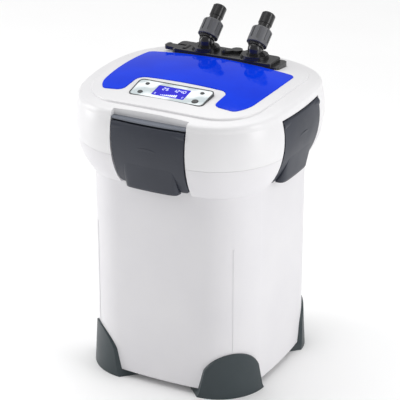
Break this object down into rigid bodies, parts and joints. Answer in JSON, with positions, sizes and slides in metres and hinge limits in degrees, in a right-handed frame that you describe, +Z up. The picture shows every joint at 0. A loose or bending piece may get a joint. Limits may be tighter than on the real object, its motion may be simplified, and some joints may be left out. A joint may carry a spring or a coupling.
{
  "type": "aquarium canister filter",
  "caption": "Aquarium canister filter: rounded-square canister, bulging pump head with display panel, swing-down side clips and swivelling twin hose taps.",
  "frame": {"origin": "middle of the ground plane under the four corner feet", "axes": "+X to the right seen from the control panel, +Y to the back where the hose taps are, +Z up"},
  "size_m": [0.2928, 0.2928, 0.4533],
  "materials": {
    "white_body": "gloss",
    "inner_white": "satin",
    "grey_moulding": "satin",
    "blue_gloss": "gloss",
    "black_moulding": "satin",
    "panel_silver": "satin",
    "dark_trim": "satin",
    "lcd_glass": "gloss",
    "board_green": "satin",
    "steel": "satin",
    "seal_rubber": "matte",
    "stator_resin": "matte",
    "impeller_plastic": "satin",
    "magnet": "matte",
    "ceramic": "satin",
    "foam_black": "matte",
    "foam_grey": "matte",
    "wool_white": "matte"
  },
  "bodies": {
    "housing": {"canister": "white_body", "head_housing": "white_body", "head_base": "inner_white", "main_seal": "seal_rubber", "cover_screws": "steel", "blue_cover": "blue_gloss", "panel_border": "dark_trim", "display_faceplate": "panel_silver", "lcd_window": "lcd_glass", "control_board": "board_green", "cord_gland": "black_moulding", "tap_block": "black_moulding", "lock_pin": "steel", "riser_outlet": "black_moulding", "riser_inlet": "black_moulding", "intake_tube": "black_moulding", "stator": "stator_resin", "impeller_shaft": "ceramic", "shaft_bush_top": "seal_rubber", "shaft_bush_low": "seal_rubber", "impeller_cover": "inner_white", "basket_lower": "inner_white", "basket_middle": "inner_white", "basket_upper": "inner_white", "foam_coarse": "foam_black", "foam_medium": "foam_grey", "wool_fine": "wool_white", "foot_front_right": "grey_moulding", "foot_back_right": "grey_moulding", "foot_back_left": "grey_moulding", "foot_front_left": "grey_moulding", "clip_pin_front": "steel", "clip_pin_right": "steel", "clip_pin_back": "steel", "clip_pin_left": "steel"},
    "clip_front": {"clip_front": "grey_moulding"},
    "clip_right": {"clip_right": "grey_moulding"},
    "clip_back": {"clip_back": "grey_moulding"},
    "clip_left": {"clip_left": "grey_moulding"},
    "tap_left": {"tap_stem_left": "black_moulding", "stem_ring_left": "seal_rubber"},
    "nut_left": {"hose_nut_left": "black_moulding"},
    "tap_right": {"tap_stem_right": "black_moulding", "stem_ring_right": "seal_rubber"},
    "nut_right": {"hose_nut_right": "black_moulding"},
    "lock_lever": {"lock_lever": "black_moulding"},
    "flow_lever": {"flow_lever": "black_moulding"},
    "key_top_left": {"key_top_left": "dark_trim"},
    "key_top_right": {"key_top_right": "dark_trim"},
    "key_low_left": {"key_low_left": "dark_trim"},
    "key_low_right": {"key_low_right": "dark_trim"},
    "rotor": {"impeller": "impeller_plastic", "rotor_magnet": "magnet"}
  },
  "joints": [
    {"name": "clip_front_hinge", "type": "hinge", "parent": "housing", "child": "clip_front", "pos_m": [0, -0.1372, 0.3637], "axis": [-1, 0, 0], "range_deg": [0, 60]},
    {"name": "clip_right_hinge", "type": "hinge", "parent": "housing", "child": "clip_right", "pos_m": [0.1372, 0, 0.3637], "axis": [0, -1, 0], "range_deg": [0, 60]},
    {"name": "clip_back_hinge", "type": "hinge", "parent": "housing", "child": "clip_back", "pos_m": [0, 0.1372, 0.3637], "axis": [1, 0, 0], "range_deg": [0, 60]},
    {"name": "clip_left_hinge", "type": "hinge", "parent": "housing", "child": "clip_left", "pos_m": [-0.1372, 0, 0.3637], "axis": [0, 1, 0], "range_deg": [0, 60]},
    {"name": "tap_left_swivel", "type": "hinge", "parent": "housing", "child": "tap_left", "pos_m": [-0.032, 0.0747, 0.4044], "axis": [0, 0, 1], "range_deg": [-30, 30]},
    {"name": "nut_left_turn", "type": "hinge", "parent": "tap_left", "child": "nut_left", "pos_m": [-0.0317, 0.07893, 0.41564], "axis": [0.0493, 0.7054, 0.7071], "continuous": true},
    {"name": "tap_right_swivel", "type": "hinge", "parent": "housing", "child": "tap_right", "pos_m": [0.039, 0.0747, 0.4044], "axis": [0, 0, 1], "range_deg": [-30, 30]},
    {"name": "nut_right_turn", "type": "hinge", "parent": "tap_right", "child": "nut_right", "pos_m": [0.0393, 0.07893, 0.41564], "axis": [0.0493, 0.7054, 0.7071], "continuous": true},
    {"name": "lock_lever_hinge", "type": "hinge", "parent": "housing", "child": "lock_lever", "pos_m": [-0.058, 0.069, 0.3978], "axis": [0, 1, 0], "range_deg": [0, 70]},
    {"name": "flow_lever_turn", "type": "hinge", "parent": "housing", "child": "flow_lever", "pos_m": [0.01, 0.0817, 0.4], "axis": [0, 0, 1], "range_deg": [0, 55]},
    {"name": "key_top_left_press", "type": "slide", "parent": "housing", "child": "key_top_left", "axis": [0, 0.2079, -0.9781], "range_m": [0, 0.0007], "stiffness_N_per_m": 300, "springref_m": -0.0003},
    {"name": "key_top_right_press", "type": "slide", "parent": "housing", "child": "key_top_right", "axis": [0, 0.2079, -0.9781], "range_m": [0, 0.0007], "stiffness_N_per_m": 300, "springref_m": -0.0003},
    {"name": "key_low_left_press", "type": "slide", "parent": "housing", "child": "key_low_left", "axis": [0, 0.2079, -0.9781], "range_m": [0, 0.0007], "stiffness_N_per_m": 300, "springref_m": -0.0003},
    {"name": "key_low_right_press", "type": "slide", "parent": "housing", "child": "key_low_right", "axis": [0, 0.2079, -0.9781], "range_m": [0, 0.0007], "stiffness_N_per_m": 300, "springref_m": -0.0003},
    {"name": "rotor_spin", "type": "hinge", "parent": "housing", "child": "rotor", "pos_m": [0, 0, 0.32], "axis": [0, 0, 1], "continuous": true}
  ]
}
